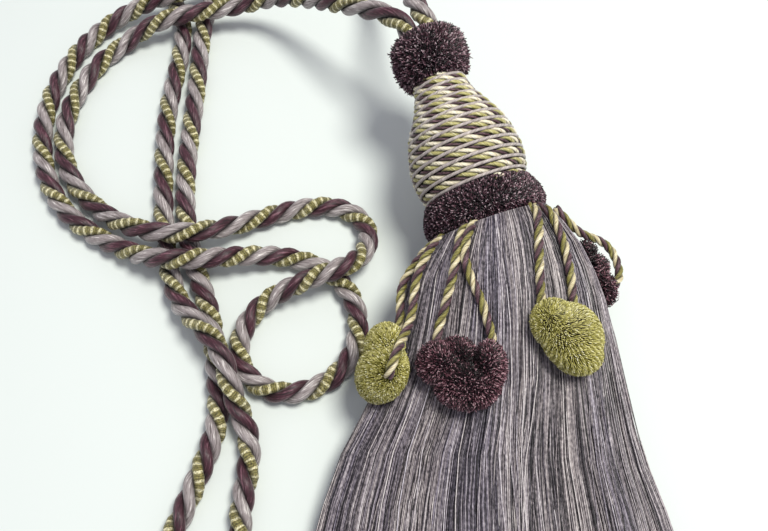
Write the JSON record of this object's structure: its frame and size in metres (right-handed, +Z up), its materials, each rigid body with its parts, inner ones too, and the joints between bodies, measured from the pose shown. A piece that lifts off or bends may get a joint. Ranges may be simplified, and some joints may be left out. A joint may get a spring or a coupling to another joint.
{
  "type": "curtain tieback tassel",
  "caption": "Curtain tieback tassel: doubled twisted rope laid in loops, cord-wound head between cut-pile ruffs, yarn skirt and thin cord drops with pile rosettes.",
  "frame": {"origin": "on the surface it lies on, under the middle of the tassel's own box, measured without the rope and the drop cords", "axes": "+Z up from the surface; +Y from the skirt's cut end towards the head and neck; +X to the right, away from the rope's loops"},
  "size_m": [0.3286, 0.4317, 0.0809],
  "materials": {
    "rope_yarn": "twisted satin yarn",
    "plum_pile": "matte cut pile",
    "olive_pile": "matte cut pile",
    "wound_cord": "satin wound cord",
    "grey_yarn": "satin loose yarn",
    "drop_cord": "twisted satin yarn"
  },
  "bodies": {
    "root": {"rope": "rope_yarn", "top_ruff": "plum_pile", "head": "wound_cord", "lower_ruff": "plum_pile", "skirt": "grey_yarn", "rosette_olive_left": "olive_pile", "rosette_plum_front": "plum_pile", "rosette_olive_right": "olive_pile", "rosette_plum_right": "plum_pile", "drop_cord_left_1": "drop_cord", "drop_cord_left_2": "drop_cord", "drop_cord_front_1": "drop_cord", "drop_cord_front_2": "drop_cord", "drop_cord_right_1": "drop_cord", "drop_cord_right_2": "drop_cord", "drop_cord_back_1": "drop_cord", "drop_cord_back_2": "drop_cord"}
  },
  "joints": []
}
